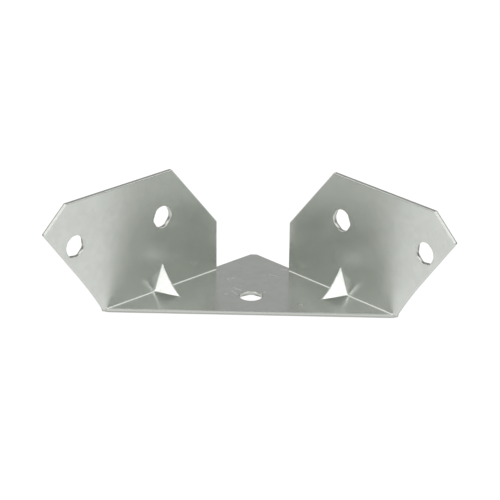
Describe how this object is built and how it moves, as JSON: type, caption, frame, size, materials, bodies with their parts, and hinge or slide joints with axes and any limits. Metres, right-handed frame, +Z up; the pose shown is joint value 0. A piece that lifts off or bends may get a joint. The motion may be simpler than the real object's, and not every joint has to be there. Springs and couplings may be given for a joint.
{
  "type": "roof bracket",
  "caption": "Folded sheet-steel corner bracket: triangular plate with two upright bolt flanges at right angles to each other, stiffened by a pressed dart across each fold.",
  "frame": {"origin": "on the underside of the plate, in the middle of the bracket's overall width and depth", "axes": "+Z up along the flanges, +X along the plate's long front edge, which faces -Y"},
  "size_m": [0.2538, 0.128, 0.0817],
  "materials": {
    "galvanized_steel": "smooth satin zinc coating with light handling scratches"
  },
  "bodies": {
    "root": {"folded_bracket": "galvanized_steel"}
  },
  "joints": []
}
